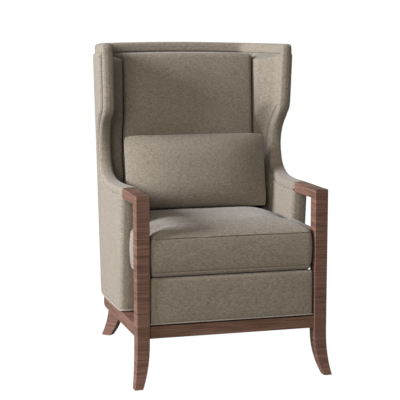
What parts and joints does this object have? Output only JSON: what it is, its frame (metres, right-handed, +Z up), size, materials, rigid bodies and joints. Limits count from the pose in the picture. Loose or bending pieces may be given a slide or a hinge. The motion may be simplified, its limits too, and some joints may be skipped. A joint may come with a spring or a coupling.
{
  "type": "wingback chair",
  "caption": "Upholstered wing chair with show-wood open arms, sabre legs, a loose T-shaped seat cushion, a boxed back cushion and a loose lumbar pillow.",
  "frame": {"origin": "on the floor under the middle of the chair's bounding box", "axes": "+Z up, the front of the seat faces -Y, the chair's mirror plane is X = 0"},
  "size_m": [0.732, 0.8399, 1.137],
  "materials": {
    "show_wood": "satin, stained walnut",
    "frame_wood": "raw",
    "steel": "zinc plated",
    "glide": "matte",
    "tweed": "woven tweed",
    "welt": "woven tweed, cut on the bias",
    "deck_cloth": "matte",
    "filling": "open-cell foam",
    "zip": "matte"
  },
  "bodies": {
    "chair_frame": {"arm_cap_bolts": "steel", "arm_cap_dowels": "frame_wood", "arm_cap_left": "show_wood", "arm_cap_right": "show_wood", "arm_front_left": "tweed", "arm_front_right": "tweed", "back_cushion_cover": "tweed", "back_cushion_foam": "filling", "back_lower_rail": "frame_wood", "back_top_rail": "frame_wood", "back_upright_left": "frame_wood", "back_upright_right": "frame_wood", "back_webbing": "deck_cloth", "bottom_welt_front": "welt", "bottom_welt_shell": "welt", "corner_block_screws": "steel", "corner_blocks": "frame_wood", "dust_cover": "deck_cloth", "foot_glides": "glide", "front_base_rail": "show_wood", "front_leg_left": "show_wood", "front_leg_right": "show_wood", "front_panel": "tweed", "inside_back_panel": "tweed", "inside_panel_left": "tweed", "inside_panel_right": "tweed", "leg_hanger_bolts": "steel", "outside_back_panel": "tweed", "outside_panel_left": "tweed", "outside_panel_right": "tweed", "rail_dowels": "frame_wood", "rear_base_rail": "show_wood", "rear_leg_blocks": "frame_wood", "rear_leg_left": "show_wood", "rear_leg_right": "show_wood", "seat_deck": "deck_cloth", "seat_rail_back": "frame_wood", "seat_rail_front": "frame_wood", "seat_rail_left": "frame_wood", "seat_rail_right": "frame_wood", "seat_springs": "steel", "side_base_rail_left": "show_wood", "side_base_rail_right": "show_wood", "spring_clips": "steel", "spring_ties": "steel", "top_border": "tweed", "wing_board_left": "frame_wood", "wing_board_right": "frame_wood", "wing_border_left": "tweed", "wing_border_right": "tweed", "wing_pad_left": "tweed", "wing_pad_right": "tweed"},
    "seat_cushion": {"seat_cushion_cover": "tweed", "seat_cushion_foam": "filling", "seat_cushion_zipper": "zip"},
    "lumbar_pillow": {"lumbar_pillow_cover": "tweed", "lumbar_pillow_fill": "filling", "lumbar_pillow_zipper": "zip"}
  },
  "joints": [
    {"name": "seat_cushion_lift", "type": "slide", "parent": "chair_frame", "child": "seat_cushion", "axis": [0, 0, 1], "range_m": [0, 0.09]},
    {"name": "lumbar_pillow_lift", "type": "slide", "parent": "seat_cushion", "child": "lumbar_pillow", "axis": [0, -0.5, 0.866], "range_m": [0, 0.35]}
  ]
}
